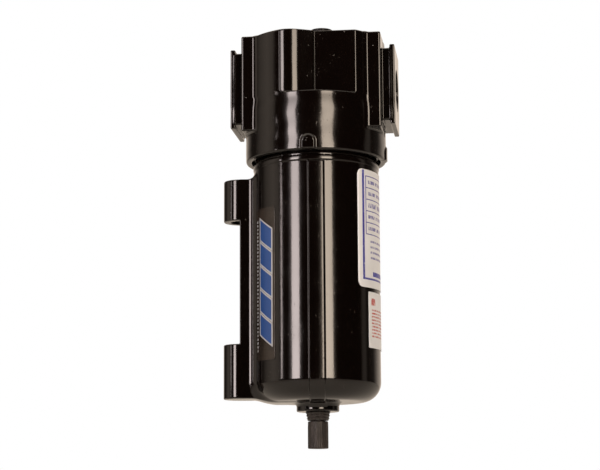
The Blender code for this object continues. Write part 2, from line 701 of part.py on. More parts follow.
def build():
    clear_scene()
    parts = collection("compressed_air_filter")
    cutters = collection("cutters", hidden=True)
    enamel = material("black_enamel", (0.012, 0.010, 0.010), 0.12)
    steel = material("zinc_steel", (0.55, 0.55, 0.53), 0.35, 1.0)
    dark_plug = material("black_steel", (0.02, 0.02, 0.02), 0.35, 0.5)
    rubber = material("nitrile_rubber", (0.02, 0.02, 0.02), 0.65)
    nylon = material("drain_nylon", (0.045, 0.036, 0.033), 0.55)
    plastic = material("inner_acetal", (0.75, 0.74, 0.70), 0.45)
    porous = material("porous_element", (0.82, 0.80, 0.74), 0.85)
    foam = material("float_foam", (0.08, 0.08, 0.09), 0.8)
    mesh = material("screen_mesh", (0.45, 0.45, 0.44), 0.5, 1.0)
    blue = material("badge_film", (0.05, 0.10, 0.35), 0.25)
    paper = material("label_paper", (0.78, 0.76, 0.74), 0.4)

    head_casting(parts, cutters, enamel)
    port_plug(parts, cutters, dark_plug, rubber)
    filter_stack(parts, cutters, plastic, porous, rubber, steel)

    frame = bpy.data.objects.new("bowl_axis", None)
    parts.objects.link(frame)
    hang(frame, bowl_casting, parts, cutters, enamel)
    groove_middle = (GROOVE_TOP + GROOVE_END) / 2
    seal = (GROOVE_RADIUS + 0.00145, groove_middle, 0.0013)
    hang(frame, o_ring, "bowl_o_ring", *seal, parts, rubber, FACETS, 6)
    hang(frame, label, "side_badge", BADGE_SPAN, BADGE_HEIGHT, parts, cutters, blue)
    hang(frame, label, "rating_label", RATING_SPAN, RATING_HEIGHT, parts, cutters, paper)
    hang(frame, label, "batch_label", BATCH_SPAN, BATCH_HEIGHT, parts, cutters, paper)

    hang(frame, drain_body, parts, cutters, nylon)
    gasket = (DRAIN_HOLE + CLEARANCE, BOWL_FLOOR + 0.0001, BOWL_FLOOR + 0.0017)
    hang(frame, ring, "drain_gasket", 0.0120, *gasket, parts, rubber)
    screen = (DRAIN_RADIUS + 0.0012, DRAIN_RADIUS + 0.0006, -0.1450, -0.1120)
    hang(frame, ring, "drain_screen", *screen, parts, mesh)
    hang(frame, drain_cap, parts, cutters, plastic, steel)
    hang(frame, pilot_lever, parts, cutters, plastic)
    hang(frame, drain_float, parts, cutters, foam)
    hang(frame, drain_valve_train, parts, plastic, rubber, steel)
    hang(frame, drain_stem, parts, nylon, rubber)
    frame.rotation_euler.z = BOWL_TURN


build()
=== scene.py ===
"""Looks of the compressed air filter: fine castings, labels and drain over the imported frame."""

import math

import bpy
import numpy as np
from mathutils import Euler, Matrix, Vector


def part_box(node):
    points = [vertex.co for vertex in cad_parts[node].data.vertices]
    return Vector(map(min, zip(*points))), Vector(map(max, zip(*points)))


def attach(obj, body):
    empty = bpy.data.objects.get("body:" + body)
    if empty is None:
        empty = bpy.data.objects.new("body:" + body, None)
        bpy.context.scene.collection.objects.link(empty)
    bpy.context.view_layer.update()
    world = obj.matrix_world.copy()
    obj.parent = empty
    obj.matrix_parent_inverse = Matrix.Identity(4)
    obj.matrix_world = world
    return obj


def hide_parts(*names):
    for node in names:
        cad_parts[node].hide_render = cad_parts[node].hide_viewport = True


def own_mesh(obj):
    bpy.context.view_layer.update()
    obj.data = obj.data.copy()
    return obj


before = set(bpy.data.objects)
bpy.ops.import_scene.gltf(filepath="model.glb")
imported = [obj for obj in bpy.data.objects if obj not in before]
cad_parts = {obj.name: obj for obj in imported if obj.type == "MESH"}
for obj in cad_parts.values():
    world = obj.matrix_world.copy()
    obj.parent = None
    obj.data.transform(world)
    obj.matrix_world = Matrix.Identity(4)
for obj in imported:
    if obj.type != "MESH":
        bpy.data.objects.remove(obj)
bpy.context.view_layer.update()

# The bowl stands turned by this much about its own axis, with its labels, its drain's body and its stem
BOWL_TURN = math.radians(6)
TURNED = Matrix.Rotation(BOWL_TURN, 4, "Z")

# ---------------------------------------------------------------- shapes, in millimetres

# A shape is an array of numbers, negative inside it and above zero outside, that measure about how far it is
# to its skin. r is the radius of a rounded edge or of a fillet.


def both(a, b, r=0.0):
    """Where both shapes are, with the edge between them rounded."""
    if not r:
        return np.maximum(a, b)
    return np.minimum(np.maximum(a, b), -r) + np.hypot(np.maximum(a + r, 0), np.maximum(b + r, 0))


def either(a, b, r=0.0):
    """Where either shape is, with a fillet in the corner between them."""
    if not r:
        return np.minimum(a, b)
    return np.maximum(np.minimum(a, b), r) - np.hypot(np.maximum(r - a, 0), np.maximum(r - b, 0))


def less(a, b, r=0.0):
    """The first shape with the second cut away."""
    return both(a, -b, r)


def slab(value, low, high):
    return np.abs(value - (low + high) / 2) - (high - low) / 2


def block(x, y, z, low, high, r=0.0):
    flat = both(slab(x, low[0], high[0]), slab(y, low[1], high[1]), r)
    return both(flat, slab(z, low[2], high[2]), r)


def column(a, b, radius):
    """An endless cylinder whose section lies in the two coordinates given."""
    return np.hypot(a, b) - radius


def drum(x, y, z, radius, low, high, r=0.0):
    return both(column(x, y, radius), slab(z, low, high), r)


def ripple(x, y, z, size, height):
    """The slow unevenness of a casting's skin: three crossing waves that don't line up."""
    k = math.tau / size
    waves = np.sin(k * (x + 0.31 * z) + 1.3) * np.sin(0.83 * k * (y - 0.2 * z) + 0.4)
    waves = waves + 0.7 * np.sin(0.61 * k * (z + 0.5 * x - 0.3 * y) + 2.1)
    return height * (waves + 0.5 * np.sin(1.7 * k * (y + 0.4 * x) + 0.9 * k * z))


# The head. Heights are measured from the ports' axis, and y points to the back
HEAD_R = 34.2
HEAD_TOP = 24.6
HEAD_RIM = -35.8
SKIRT_TOP = -6.0
SKIRT_FOOT = -35.0

# Above its ledge the front is cut back to a round lobe, a facet turned to the right and a flat panel
LEDGE = -6.4
CUT_LEFT = -13.4
FACET = math.radians(26)
FACET_DEPTH = 25.4
LOBE_R = 12.5
PANEL_LEFT = 2.2
PANEL_DEPTH = 25.7

# The low and high corners of what stands out at each side
PORT_BLOCK = (10, -21.1, -22.4), (33.8, -5.8, HEAD_TOP)
PORT_NECK = (10, -15.0, -17.9), (38.6, 15.0, 17.9)
PORT_FLANGE = (37.7, -15.0, -19.7), (40.1, 15.0, 19.7)

# The arched pads near the rim
PAD_HALF = 3.1
PAD_FOOT = -34.8
PAD_ARCH = -31.5
PAD_HIGH = 0.7

PORT_R = 10.3
PORT_PITCH = 1.81
PLUG_X, PLUG_Y = 5.2, -19.5


def skirt_waves(x, z):
    """Uneven casting below the head's ledge, fading out at the rim."""
    fade = np.clip((SKIRT_TOP - z) / 3.0, 0, 1) * np.clip((z - SKIRT_FOOT) / 4.0, 0, 1)
    return 0.05 * fade * (np.sin(0.30 * z + 0.17 * x) + 0.4 * np.sin(0.71 * z - 0.22 * x + 1.0))


def lobed_plan(x, y):
    """The head's plan above its ledge: a cylinder with a flat facet and a round lobe beside it."""
    nx, ny = math.sin(FACET), -math.cos(FACET)
    reach, offset = HEAD_R - LOBE_R, FACET_DEPTH - LOBE_R
    side = math.sqrt(reach**2 - offset**2)
    cx, cy = nx * offset + ny * side, ny * offset - nx * side
    first = (cx / reach, cy / reach)
    px, py = x - cx, y - cy
    in_first = first[0] * py - first[1] * px >= 0
    in_last = px * ny - py * nx >= 0
    wall = np.maximum(column(x, y, HEAD_R), x * nx + y * ny - FACET_DEPTH)
    return np.where(in_first & in_last, np.hypot(px, py) - LOBE_R, wall)


def upper_plan(x, y):
    """The lobed plan left of the panel's step, and a flat panel right of it."""
    left = both(lobed_plan(x, y), x - PANEL_LEFT, r=0.5)
    panel = both(column(x, y, HEAD_R), -PANEL_DEPTH - y, r=0.25)
    return either(left, panel, r=0.45)


def head_drum(x, y, z):
    """The head's round body, dished below the ledge and cut back in front above it."""
    dish = 0.35 * np.exp(-(((z + 8.0) / 3.5) ** 2))
    body = drum(x, y, z, HEAD_R, HEAD_RIM, HEAD_TOP, r=0.8) + dish * (z < SKIRT_TOP)
    body = both(body, slab(z, HEAD_RIM, 100), r=1.6)
    pocket = both(LEDGE - z, CUT_LEFT - x, r=1.4)
    cut = both(both(-upper_plan(x, y), pocket, r=0.3), y)
    return less(body, cut, r=0.5)


def head_outside(x, y, z):
    """The drum with a block, neck and flange at each side, and a pad in front and at the right."""
    sides = np.abs(x)
    body = either(head_drum(x, y, z), block(sides, y, z, *PORT_BLOCK, r=0.7), r=1.3)
    body = either(body, block(sides, y, z, *PORT_NECK, r=0.8), r=0.5)
    body = either(body, block(sides, y, z, *PORT_FLANGE, r=0.45), r=0.5)
    for across, out in ((x, -y), (y, x)):
        pad = both(slab(z, PAD_FOOT, PAD_ARCH), np.abs(across) - PAD_HALF)
        pad = np.minimum(pad, column(across, z - PAD_ARCH, PAD_HALF))
        pad = both(pad, np.maximum(column(x, y, HEAD_R + PAD_HIGH), -out), r=0.4)
        body = either(body, pad, r=1.0)
    return body + ripple(x, y, z, size=17.0, height=0.014) + skirt_waves(x, z)


def pipe_thread(x, y, z):
    """The wall of a port: a fine thread from the mouth inwards."""
    turn = np.arctan2(z, y) / math.tau
    phase = (np.abs(x) / PORT_PITCH + turn) % 1.0
    return column(y, z, PORT_R - 0.45 + 0.85 * np.abs(phase - 0.5))


def head_shape(x, y, z):
    """The head, hollow, with the outlet's tube standing in it. Open holes end well outside it."""
    chamber = drum(x, y, z, radius=24.0, low=-60, high=10.5, r=1.5)
    bowl_socket = drum(x, y, z, radius=31.5, low=-60, high=-14.0, r=0.4)
    standing = drum(x, y, z, radius=12.5, low=-27.0, high=20)
    lying = both(column(y, z, radius=12.7), slab(x, 2, 30))
    hollow = less(either(chamber, bowl_socket), either(standing, lying), r=0.4)
    body = less(head_outside(x, y, z), hollow, r=0.5)
    thread = pipe_thread(x, y, z)
    ports = either(both(thread, slab(x, -60, -20)), both(thread, slab(x, -4, 60)))
    throat = drum(x, y, z, radius=8.5, low=-60, high=0)
    rod_hole = drum(x, y, z, radius=2.5, low=-1, high=16.8)
    plug_hole = drum(x - PLUG_X, y - PLUG_Y, z, radius=3.3, low=17.0, high=60)
    for hole in (ports, throat, rod_hole, plug_hole):
        body = less(body, hole, r=0.35)
    return body


# The bowl, before it is turned
BOWL_R = 30.4
BOWL_BASE = -151.8
BOWL_TOP = -14.8
RIB_HALF = 3.65
RIB_HIGH = 0.7
RIB_TOP = -39.9
BEAD_Z, BEAD_HALF, BEAD_HIGH = -38.4, 1.6, 0.32

# The web at its left carries two bosses, each with a blind seat that faces the other's
BOSS_X, BOSS_R = -37.0, 8.1
WEB_FOOT, WEB_TOP = -150.2, -44.2


def bowl_side(x, y, z):
    """The web and its two bosses."""
    web = block(x, y, z, (BOSS_X, -BOSS_R, WEB_FOOT), (0.0, BOSS_R, WEB_TOP), r=0.25)
    upper = drum(x - BOSS_X, y, z, BOSS_R, low=-64.3, high=WEB_TOP, r=0.5)
    lower = drum(x - BOSS_X, y, z, BOSS_R, low=WEB_FOOT, high=-124.1, r=0.5)
    return either(web, either(upper, lower))


def bowl_outside(x, y, z):
    """The bowl's wall with its web, front rib, drain boss and bead, and the top that goes into the head."""
    radial = np.hypot(x, y)
    wall = both(radial - BOWL_R, BOWL_BASE - z, r=9.5)
    rib = both(wall - RIB_HIGH, np.abs(x) - RIB_HALF, r=0.25)
    rib = both(rib, np.maximum(y, z - RIB_TOP), r=0.3)
    outer = either(wall, bowl_side(x, y, z), r=4.0)
    outer = either(outer, rib, r=0.15)
    outer = either(outer, drum(x, y, z, radius=10.2, low=-156.3, high=-140, r=0.6), r=2.2)
    outer = outer - np.maximum(BEAD_HIGH * (1 - ((z - BEAD_Z) / BEAD_HALF) ** 2), 0)
    outer = less(outer, both(29.6 - radial, slab(z, -36.9, -33.4)), r=0.15)
    outer = both(outer, z - BOWL_TOP, r=0.5)
    outer = either(outer, drum(x, y, z, radius=30.9, low=-33.0, high=-20.6, r=0.5))
    outer = less(outer, both(28.6 - radial, slab(z, -20.0, -16.8)), r=0.2)
    return outer + ripple(x, y, z, size=26.0, height=0.006)


def bowl_shape(x, y, z):
    """The bowl, hollow, with the bosses' seats and the drain's hole."""
    inner = both(column(x, y, radius=27.4), -148.8 - z, r=5.7)
    seats = drum(x - BOSS_X, y, z, radius=4.7, low=-134.1, high=-54.3)
    drain = drum(x, y, z, radius=6.0, low=-170, high=-140)
    return less(less(less(bowl_outside(x, y, z), inner, r=0.4), seats, r=0.3), drain, r=0.4)


def drain_neck(x, y, z):
    """The neck under the bowl: worn ridges at a thread's pitch, on a slight taper."""
    turn = np.arctan2(y, x)
    pitch, top_ridge, last_ridge = 1.35, -156.2, -160.4
    saw = ((top_ridge - z) / pitch + 0.07 * np.sin(3 * turn)) % 1.0
    ridge = np.where(z > last_ridge, 0.55 - 0.75 * np.abs(saw - 0.4), -0.3)
    ridge = ridge + 0.06 * np.sin(7 * turn + 0.9 * z)
    taper = 0.16 * np.clip(-156.8 - z, 0, 4)
    return both(column(x, y, radius=5.3) - ridge + taper, slab(z, -160.5, -146.0), r=0.2)


def drain_shape(x, y, z):
    """The drain's float chamber with four windows, its central column and its neck, bored right through."""
    cup = drum(x, y, z, radius=14.5, low=-147.0, high=-106.6, r=0.3)
    cup = less(cup, drum(x, y, z, radius=13.2, low=-145.5, high=-100.0), r=0.2)
    centre = drum(x, y, z, radius=4.8, low=-146.0, high=-122.0, r=0.3)
    nozzle = drum(x, y, z, radius=1.6, low=-123.0, high=-115.6, r=0.3)
    body = either(either(cup, drain_neck(x, y, z)), either(centre, nozzle), r=0.4)
    bores = ((3.7, -145.5, -125.0), (2.0, -153.0, -140.0), (3.4, -170.0, -152.4), (0.6, -126.0, -110.0))
    bore = np.minimum.reduce([drum(x, y, z, radius, low, high) for radius, low, high in bores])
    across = np.abs(np.abs(x) - np.abs(y)) / math.sqrt(2)
    windows = both(across - 2.5, slab(z, -143.0, -118.0), r=1.0)
    windows = np.maximum(windows, -column(x, y, radius=12.0))
    return less(less(body, bore, r=0.15), windows, r=0.2)


def stem_shape(x, y, z):
    """The drain's stem: a faintly fluted grip below a grooved spigot."""
    flutes = 0.05 * np.cos(22 * np.arctan2(y, x)) * np.clip((-161.6 - z) / 1.5, 0, 1)
    grip = both(column(x, y, radius=4.85) - flutes, slab(z, -173.7, -160.8), r=0.45)
    groove = both(-column(x, y, radius=2.2), slab(z, -159.7, -158.3))
    spigot = less(drum(x, y, z, radius=3.1, low=-162.0, high=-157.5, r=0.2), groove, r=0.1)
    return less(either(grip, spigot), drum(x, y, z, radius=1.6, low=-180.0, high=-150.0), r=0.3)


def plug_shape(x, y, z):
    """The blanking plug: a thin round head with a hexagon socket."""
    head = drum(x, y, z, radius=5.4, low=25.4, high=26.2, r=0.25)
    solid = either(head, drum(x, y, z, radius=3.0, low=17.4, high=25.8, r=0.3), r=0.2)
    flats = [np.abs(x * math.cos(t) + y * math.sin(t)) for t in (0, math.pi / 3, 2 * math.pi / 3)]
    half_across, depth = 1.85, 22.6
    socket = both(np.maximum.reduce(np.broadcast_arrays(*flats)) - half_across, depth - z, r=0.1)
    return less(solid, socket, r=0.15)


# ---------------------------------------------------------------- meshes

CORNERS = [(i, j, k) for i in (0, 1) for j in (0, 1) for k in (0, 1)]
TINY = 1e-9


def even(low, high, cell):
    return np.arange(low, high + cell, cell)


def spaced(*spans):
    """Heights from (start, end, step) spans, low to high."""
    return np.unique(np.concatenate([np.arange(a, b, step) for a, b, step in spans]))


def slope_at(shape, points, step=0.02):
    slope = np.empty_like(points)
    for axis in range(3):
        ahead, behind = points.copy(), points.copy()
        ahead[:, axis] += step
        behind[:, axis] -= step
        slope[:, axis] = (shape(*ahead.T) - shape(*behind.T)) / (2 * step)
    return slope


def sample(shape, xs, ys, zs):
    """The shape's numbers on the whole grid, a few levels at a time to save memory."""
    field = np.empty((len(xs), len(ys), len(zs)), np.float32)
    batch = 16
    for k in range(0, len(zs), batch):
        levels = zs[None, None, k : k + batch]
        field[:, :, k : k + batch] = shape(xs[:, None, None], ys[None, :, None], levels)
    return field


def skin_cells(inside):
    """The cells that the skin passes through, and a grid of their numbers."""
    size = [n - 1 for n in inside.shape]
    full = np.zeros(size, np.uint8)
    for i, j, k in CORNERS:
        full += inside[i : size[0] + i, j : size[1] + j, k : size[2] + k]
    cells = np.argwhere((full > 0) & (full < len(CORNERS)))
    number = np.full(size, -1, np.int32)
    number[tuple(cells.T)] = np.arange(len(cells))
    return cells, number


def crossing_points(field, axes, cells):
    """One point in each cell: the mean of where the skin crosses the cell's edges."""
    total, count = np.zeros((len(cells), 3)), np.zeros(len(cells))
    edges = [(start, axis) for start in CORNERS for axis in range(3) if not start[axis]]
    for start, axis in edges:
        end = tuple(1 if a == axis else s for a, s in enumerate(start))
        a = field[tuple((cells + start).T)]
        b = field[tuple((cells + end).T)]
        hit = (a < 0) != (b < 0)
        share = np.where(hit, a / np.where(hit, a - b, 1), 0)
        for other, ticks in enumerate(axes):
            at = cells[:, other]
            here, there = ticks[at + start[other]], ticks[at + end[other]]
            total[:, other] += np.where(hit, here + share * (there - here), 0)
        count += hit
    return total / count[:, None]


def settle(shape, points, cell):
    """Move the points onto the skin, in short steps so that none leaves its neighbours."""
    flattest, longest = 0.05, 0.4 * cell
    for _ in range(4):
        slope = slope_at(shape, points)
        square = np.maximum((slope**2).sum(1), flattest)
        move = slope * (shape(*points.T) / square)[:, None]
        length = np.maximum(np.linalg.norm(move, axis=1, keepdims=True), TINY)
        points -= move * np.minimum(1, longest / length)


def skin_quads(inside, number):
    """A face for each grid edge that crosses the skin, between the four cells round it, facing outwards."""
    quads = []
    for axis in range(3):
        order = (axis, (axis + 1) % 3, (axis + 2) % 3)
        solid, turned = inside.transpose(order), number.transpose(order)
        first, second = solid[:-1, 1:-1, 1:-1], solid[1:, 1:-1, 1:-1]
        for edge, turn in ((first & ~second, 1), (~first & second, -1)):
            i, j, k = np.nonzero(edge)
            quad = [turned[i, j, k], turned[i, j + 1, k], turned[i, j + 1, k + 1], turned[i, j, k + 1]]
            quads.append(np.stack(quad, 1)[:, ::turn])
    return np.concatenate(quads)


def net(name, shape, cell, xs, ys, zs):
    """A smooth closed mesh of the shape's skin, over the grid given. cell is its usual spacing."""
    field = sample(shape, xs, ys, zs)
    inside = field < 0
    cells, number = skin_cells(inside)
    points = crossing_points(field, (xs, ys, zs), cells)
    settle(shape, points, cell)
    normals = slope_at(shape, points)
    normals /= np.maximum(np.linalg.norm(normals, axis=1, keepdims=True), TINY)
    return mesh_of(name, points / 1000, skin_quads(inside, number), normals)


def mesh_of(name, points, quads, normals=None):
    """An object of four-cornered faces, from points in metres."""
    mesh = bpy.data.meshes.new(name)
    mesh.vertices.add(len(points))
    mesh.vertices.foreach_set("co", np.ascontiguousarray(points, np.float32).ravel())
    mesh.loops.add(4 * len(quads))
    mesh.loops.foreach_set("vertex_index", np.ascontiguousarray(quads, np.int32).ravel())
    mesh.polygons.add(len(quads))
    mesh.polygons.foreach_set("loop_start", np.arange(0, 4 * len(quads), 4, dtype=np.int32))
    mesh.polygons.foreach_set("use_smooth", np.ones(len(quads), bool))
    mesh.update(calc_edges=True)
    if normals is not None:
        mesh.normals_split_custom_set_from_vertices(normals.tolist())
    piece = bpy.data.objects.new(name, mesh)
    bpy.context.scene.collection.objects.link(piece)
    return piece


def label_sheet(name, span, height, corner, radius, thickness):
    """A closed thin sheet with round corners, bent round the bowl between two angles."""
    low, high = height
    first, last = (math.radians(angle) for angle in span)
    middle, half = (first + last) / 2 * radius, (last - first) / 2 * radius
    bends = np.linspace(0, math.pi / 2, 7)
    near = corner * (1 - np.cos(bends))
    straight = np.linspace(low + corner, high - corner, 40)[1:-1]
    heights = np.concatenate([low + near, straight, high - near[::-1]])
    cut = corner * (1 - np.sin(bends))
    inset = np.concatenate([cut, np.zeros(len(straight)), cut[::-1]])
    across = np.linspace(-1, 1, 61)
    angle = (middle + across[None, :] * (half - inset[:, None])) / radius
    tall = np.broadcast_to(heights[:, None], angle.shape)
    sheets = []
    for level in (radius, radius + thickness):
        sheets.append(np.stack([level * np.sin(angle), -level * np.cos(angle), tall], 2).reshape(-1, 3))
    number = np.arange(angle.size).reshape(angle.shape)
    front = np.stack([number[:-1, :-1], number[:-1, 1:], number[1:, 1:], number[1:, :-1]], 2).reshape(-1, 4)
    border = np.concatenate([number[0, :-1], number[:-1, -1], number[-1, :0:-1], number[:0:-1, 0]])
    following = np.roll(border, -1)
    side = np.stack([border, following, following + angle.size, border + angle.size], 1)
    faces = np.concatenate([front[:, ::-1], front + angle.size, side])
    return mesh_of(name, np.concatenate(sheets) / 1000, faces)


def coil(name, node, turns, wire):
    """A closed round wire wound inside the box of the node, with its ends on the box's faces."""
    low, high = (np.array(corner) * 1000 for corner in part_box(node))
    radius, sides, per_turn = (high[0] - low[0]) / 2 - wire, 8, 24
    steps = np.arange(turns * per_turn + 1)
    angle = math.tau * steps / per_turn
    rise = (high[2] - low[2] - 2 * wire) / steps[-1]
    out = np.stack([np.cos(angle), np.sin(angle), np.zeros(len(steps))], 1)
    middle = radius * out + np.stack([0 * angle, 0 * angle, low[2] + wire + rise * steps], 1)
    along = np.stack([-radius * out[:, 1], radius * out[:, 0], 0 * angle + rise * per_turn / math.tau], 1)
    up = np.cross(along / np.linalg.norm(along, axis=1, keepdims=True), out)
    turn = math.tau * np.arange(sides) / sides
    ring = out[:, None] * np.cos(turn)[None, :, None] + up[:, None] * np.sin(turn)[None, :, None]
    points = (middle[:, None] + wire * ring).reshape(-1, 3)
    number = np.arange(len(points)).reshape(-1, sides)
    beside = np.roll(number, -1, 1)
    skin = np.stack([number[:-1], number[1:], beside[1:], beside[:-1]], 2).reshape(-1, 4)
    ends = [number[0, [0, 1, 2, 3]], number[0, [0, 3, 4, 7]], number[0, [7, 4, 5, 6]]]
    ends += [number[-1, [3, 2, 1, 0]], number[-1, [7, 4, 3, 0]], number[-1, [6, 5, 4, 7]]]
    return mesh_of(name, points / 1000, np.concatenate([skin, np.array(ends)]))


def place(piece, body, node, slot, finish, turned=False):
    """Give a piece its material and its body, in the place of the CAD node."""
    if turned:
        piece.matrix_world = TURNED
    piece.data.materials.append(finish)
    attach(piece, body)
    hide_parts(node)


# ---------------------------------------------------------------- materials

# The radius that the labels lie at, just off the bowl's wall
LABEL_R = BOWL_R + 0.1


class Nodes:
    """Short calls that add nodes to a tree."""

    def __init__(self, tree):
        self.tree = tree

    def node(self, kind, **values):
        made = self.tree.nodes.new(kind)
        for key, value in values.items():
            setattr(made, key, value)
        return made

    def link(self, value, socket):
        """Feed a socket from another one, or set it to a value."""
        if isinstance(value, bpy.types.NodeSocket):
            self.tree.links.new(value, socket)
        else:
            socket.default_value = value

    def math(self, operation, *values):
        made = self.node("ShaderNodeMath", operation=operation)
        for value, socket in zip(values, made.inputs):
            self.link(value, socket)
        return made.outputs[0]

    def axes(self, place):
        """The x, y and z of a vector."""
        split = self.node("ShaderNodeSeparateXYZ")
        self.tree.links.new(place, split.inputs[0])
        return split.outputs


class Paint(Nodes):
    """A material whose nodes are made by short calls."""

    def __init__(self, name):
        self.material = bpy.data.materials.new(name)
        self.material.use_nodes = True
        super().__init__(self.material.node_tree)
        self.shader = self.tree.nodes["Principled BSDF"]
        self.place = self.node("ShaderNodeTexCoord").outputs["Object"]

    def noise(self, size_mm, detail=3.0, stretch=(1, 1, 1)):
        """Noise whose features are about this size."""
        mapping = self.node("ShaderNodeMapping")
        self.tree.links.new(self.place, mapping.inputs["Vector"])
        mapping.inputs["Scale"].default_value = stretch
        made = self.node("ShaderNodeTexNoise")
        made.inputs["Scale"].default_value = 1000 / size_mm
        made.inputs["Detail"].default_value = detail
        self.tree.links.new(mapping.outputs[0], made.inputs["Vector"])
        return made.outputs["Fac"]

    def specks(self, spacing_mm, size, share):
        """Sparse round nibs: 1 at the middle of each and 0 outside. share is how many cells have none."""
        made = self.node("ShaderNodeTexVoronoi")
        made.inputs["Scale"].default_value = 1000 / spacing_mm
        self.tree.links.new(self.place, made.inputs["Vector"])
        chosen = self.math("GREATER_THAN", self.axes(made.outputs["Color"])[0], share)
        return self.math("MULTIPLY", chosen, self.between(made.outputs["Distance"], 0.0, size, 1.0, 0.0))

    def between(self, value, low, high, out_low, out_high):
        """The value's range from low to high, spread over out_low to out_high."""
        made = self.node("ShaderNodeMapRange")
        made.inputs["From Min"].default_value = low
        made.inputs["From Max"].default_value = high
        made.inputs["To Min"].default_value = out_low
        made.inputs["To Max"].default_value = out_high
        self.tree.links.new(value, made.inputs["Value"])
        return made.outputs["Result"]

    def mix(self, share, a, b):
        """Colour a where share is 0 and colour b where it is 1."""
        made = self.node("ShaderNodeMix", data_type="RGBA")
        self.link(share, made.inputs["Factor"])
        for value, socket in ((a, made.inputs["A"]), (b, made.inputs["B"])):
            self.link(value if isinstance(value, bpy.types.NodeSocket) else (*value, 1.0), socket)
        return made.outputs["Result"]

    def bump(self, height, distance_mm, below=None):
        """A relief of this height, over the one below it if there is one."""
        made = self.node("ShaderNodeBump")
        made.inputs["Strength"].default_value = 1.0
        made.inputs["Distance"].default_value = distance_mm / 1000
        self.tree.links.new(height, made.inputs["Height"])
        if below is not None:
            self.tree.links.new(below, made.inputs["Normal"])
        return made.outputs["Normal"]

    def finish(self, colour, roughness, normal, **fixed):
        """The finished material. The fixed values are the shader's own, the same all over."""
        for value, name in ((colour, "Base Color"), (roughness, "Roughness"), (normal, "Normal")):
            self.tree.links.new(value, self.shader.inputs[name])
        for name, value in fixed.items():
            self.shader.inputs[name].default_value = value
        return self.material

    def bent(self):
        """Millimetres round the bowl from its front, and millimetres of height."""
        x, y, z = self.axes(self.place)
        angle = self.math("ARCTAN2", x, self.math("MULTIPLY", y, -1.0))
        return self.math("MULTIPLY", angle, LABEL_R), self.math("MULTIPLY", z, 1000.0)

    def bar(self, u, v, left, right, low, high):
        """1 inside the rectangle and 0 outside it."""
        inside_u = self.math("COMPARE", u, (left + right) / 2, (right - left) / 2)
        inside_v = self.math("COMPARE", v, (low + high) / 2, (high - low) / 2)
        return self.math("MULTIPLY", inside_u, inside_v)

    def any_of(self, masks):
        total = masks[0]
        for mask in masks[1:]:
            total = self.math("MAXIMUM", total, mask)
        return total


def enamel():
    """Gloss black enamel over a casting: orange peel, nibs, dust and soft scuffs."""
    black, dust_grey = (0.0020, 0.0010, 0.0007), (0.05, 0.042, 0.036)
    paint = Paint("gloss_black_enamel")
    peel = paint.noise(2.4, 2.0)
    nibs = paint.specks(3.4, 0.075, 0.72)
    dust = paint.between(paint.noise(0.9, 1.0), 0.70, 0.76, 0.0, 1.0)
    patches = paint.noise(14.0, 4.0)
    dusty = paint.math("MULTIPLY", dust, paint.between(patches, 0.5, 0.62, 0.0, 0.5))
    rough = paint.between(patches, 0.35, 0.7, 0.085, 0.13)
    rough = paint.math("ADD", rough, paint.math("MULTIPLY", dusty, 0.35))
    normal = paint.bump(peel, 0.010)
    normal = paint.bump(dusty, 0.02, normal)
    normal = paint.bump(nibs, 0.07, normal)
    return paint.finish(paint.mix(dusty, black, dust_grey), rough, normal, IOR=1.5)


def plain(name, colour, size_mm, roughness, relief_mm=0.01, shade=0.78, **fixed):
    """A moulded, machined or foamed material with grain of the size given and darker clouds."""
    spread, cloud_mm = 0.08, size_mm * 9
    paint = Paint(name)
    grain = paint.noise(size_mm, 4.0)
    cloud = paint.noise(cloud_mm, 3.0)
    darker = tuple(shade * c for c in colour)
    tint = paint.mix(paint.between(cloud, 0.35, 0.65, 0.0, 1.0), darker, colour)
    rough = paint.between(grain, 0.3, 0.7, roughness - spread, roughness + spread)
    return paint.finish(tint, rough, paint.bump(grain, relief_mm), **fixed)


def nylon():
    """Dark dry moulded nylon with fine vertical drag marks."""
    dark, pale = (0.008, 0.006, 0.005), (0.026, 0.020, 0.018)
    paint = Paint("dark_nylon")
    streaks = paint.noise(0.9, 3.0, (1, 1, 0.10))
    cloud = paint.noise(5.0, 3.0)
    colour = paint.mix(paint.between(streaks, 0.35, 0.65, 0.0, 1.0), dark, pale)
    rough = paint.between(cloud, 0.3, 0.7, 0.46, 0.62)
    return paint.finish(colour, rough, paint.bump(streaks, 0.03))


def woven_wire():
    """A fine weave: two crossing sets of wires round the screen."""
    gap, wire, pitch_mm = (0.05, 0.05, 0.05), (0.42, 0.42, 0.41), 0.4
    paint = Paint("woven_wire")
    sets = []
    for value in paint.bent():
        wave = paint.math("SINE", paint.math("MULTIPLY", value, math.pi / pitch_mm))
        sets.append(paint.math("ABSOLUTE", wave))
    weave = paint.math("MAXIMUM", *sets)
    rough = paint.between(weave, 0.0, 1.0, 0.6, 0.35)
    return paint.finish(paint.mix(weave, gap, wire), rough, paint.bump(weave, 0.08), Metallic=0.9)


# ---------------------------------------------------------------- labels, in millimetres

# Each label's two angles from the bowl's front, and its foot and top
RATING = ((40, 140), (-99.0, -42.2))
BATCH = ((53, 118), (-127.5, -100.9))
BADGE = ((-70, -40), (-133.0, -60.3))

# The heights of the lines round the data plate's five rows, from the top down
ROW_PITCH = 5.6
RATING_TOP = RATING[1][1] - 3.2
RATING_ROWS = [RATING_TOP - ROW_PITCH * i for i in range(6)]

LABEL_WHITE = (0.76, 0.79, 0.84)
INK_BLUE = (0.030, 0.035, 0.33)
INK_RED = (0.48, 0.085, 0.08)


def edges_mm(label):
    """A label's left and right edges round the bowl, and its foot and top."""
    angles, (low, high) = label
    left, right = (math.radians(angle) * LABEL_R for angle in angles)
    return left, right, low, high


